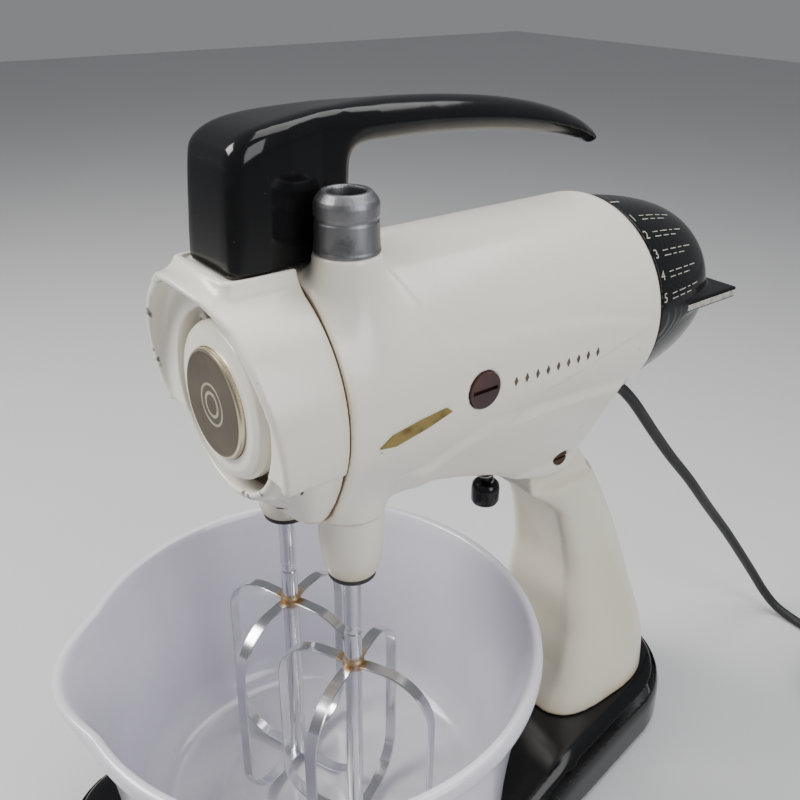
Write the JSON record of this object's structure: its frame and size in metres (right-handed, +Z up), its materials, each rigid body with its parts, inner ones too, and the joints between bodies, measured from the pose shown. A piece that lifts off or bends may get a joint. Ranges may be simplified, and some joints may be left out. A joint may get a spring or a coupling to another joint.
{
  "type": "stand mixer",
  "caption": "Vintage stand mixer with cream enamel tilting head, black handle and speed dial, two beaters and a milk-glass mixing bowl on a black base",
  "frame": {"origin": "bottom centre of the box round the mixer and its bowl, on the table, with the cord left out", "axes": "+Z is up, -Y is the front where the beaters and handle's post are, +Y is the speed dial and column, +X is the side with the juicer nozzle"},
  "size_m": [0.3475, 0.553, 0.4265],
  "materials": {
    "head enamel": "gloss",
    "column enamel": "gloss",
    "base enamel": "gloss",
    "black resin": "gloss",
    "brush cap resin": "satin",
    "milk glass": "gloss",
    "chrome": "polished",
    "steel": "satin",
    "zinc steel": "satin",
    "zinc casting": "matte",
    "bearing bronze": "satin",
    "brass": "satin",
    "copper wire": "satin",
    "lamination": "matte",
    "carbon": "matte",
    "dark bronze": "satin",
    "dark gilt": "satin",
    "rubber": "matte",
    "glide fibre": "matte",
    "brown board": "matte",
    "waxed card": "matte"
  },
  "bodies": {
    "stand": {"base_casting": "base enamel", "bottom_plate": "zinc steel", "rubber_feet": "rubber", "plate_screws": "zinc steel", "pedestal": "column enamel", "pedestal_bolts": "zinc steel", "hinge_pin": "steel", "turntable_pivot": "steel", "turntable_glides": "glide fibre", "cord_run": "rubber", "cord_coil": "rubber", "cord_plug": "rubber"},
    "turntable": {"turntable": "base enamel", "mixing_bowl": "milk glass"},
    "head": {"motor_housing": "head enamel", "gearcase_cover": "head enamel", "front_cap": "head enamel", "medallion": "dark bronze", "nameplate": "dark gilt", "trim_marks": "dark gilt", "brush_caps": "brush cap resin", "brush_holders": "brass", "carbon_brushes": "carbon", "brush_springs": "steel", "stator_core": "lamination", "field_coils": "copper wire", "gear_plate": "zinc casting", "front_bearing": "bearing bronze", "rear_bracket": "zinc casting", "rear_bearing": "bearing bronze", "spindle_sleeves": "head enamel", "sleeve_seals": "rubber", "juicer_nozzle": "zinc casting", "hinge_screws": "steel", "cord_grommet": "rubber", "speed_plate": "brown board", "capacitor": "waxed card", "cover_screws": "zinc steel", "handle_pin": "steel", "ejector_spring": "steel", "tilt_spring": "steel"},
    "armature": {"motor_shaft": "steel", "worm": "bearing bronze", "armature_core": "lamination", "armature_windings": "copper wire", "commutator": "copper wire", "cooling_fan": "zinc steel", "governor_disc": "brass"},
    "left_drive": {"left_gear": "bearing bronze", "left_spindle": "steel"},
    "right_drive": {"right_gear": "bearing bronze", "right_spindle": "steel"},
    "left_beater_body": {"left_beater": "chrome"},
    "right_beater_body": {"right_beater": "chrome"},
    "handle_body": {"handle": "black resin", "handle_bracket": "zinc steel"},
    "ejector": {"ejector_plate": "zinc steel"},
    "dial": {"speed_dial": "black resin"},
    "tilt_latch": {"tilt_button": "black resin"}
  },
  "joints": [
    {"name": "bowl_turn", "type": "hinge", "parent": "stand", "child": "turntable", "pos_m": [0, -0.077, 0.035], "axis": [0, 0, 1], "continuous": true},
    {"name": "head_tilt", "type": "hinge", "parent": "stand", "child": "head", "pos_m": [0, 0.069, 0.232], "axis": [-1, 0, 0], "range_deg": [0, 34], "deforming": ["cord_run"]},
    {"name": "armature_spin", "type": "hinge", "parent": "head", "child": "armature", "pos_m": [0, -0.072, 0.312], "axis": [0, 1, 0], "continuous": true},
    {"name": "left_spin", "type": "hinge", "parent": "head", "child": "left_drive", "pos_m": [-0.0295, -0.072, 0.312], "axis": [0, 0, 1], "continuous": true},
    {"name": "right_spin", "type": "hinge", "parent": "head", "child": "right_drive", "pos_m": [0.0295, -0.072, 0.312], "axis": [0, 0, 1], "continuous": true},
    {"name": "left_eject", "type": "slide", "parent": "left_drive", "child": "left_beater_body", "axis": [0, 0, -1], "range_m": [0, 0.003]},
    {"name": "right_eject", "type": "slide", "parent": "right_drive", "child": "right_beater_body", "axis": [0, 0, -1], "range_m": [0, 0.003]},
    {"name": "handle_tilt", "type": "hinge", "parent": "head", "child": "handle_body", "pos_m": [0, -0.064, 0.362], "axis": [-1, 0, 0], "range_deg": [0, 6], "stiffness_Nm_per_rad": 8, "springref_deg": -5.73},
    {"name": "ejector_slide", "type": "slide", "parent": "head", "child": "ejector", "axis": [0, 0, -1], "range_m": [0, 0.003], "deforming": ["ejector_spring"]},
    {"name": "dial_turn", "type": "hinge", "parent": "head", "child": "dial", "pos_m": [0, 0.128, 0.312], "axis": [0, -1, 0], "range_deg": [0, 165]},
    {"name": "tilt_release", "type": "slide", "parent": "head", "child": "tilt_latch", "axis": [0, 0, 1], "range_m": [0, 0.004], "stiffness_N_per_m": 600, "springref_m": -0.003, "deforming": ["tilt_spring"]}
  ],
  "couplings": [
    {"joint": "left_spin", "follows": "armature_spin", "ratio": 0.027778},
    {"joint": "right_spin", "follows": "armature_spin", "ratio": -0.027778},
    {"joint": "left_eject", "follows": "handle_tilt", "m_per_rad": 0.02865},
    {"joint": "right_eject", "follows": "handle_tilt", "m_per_rad": 0.02865},
    {"joint": "ejector_slide", "follows": "handle_tilt", "m_per_rad": 0.02865}
  ]
}
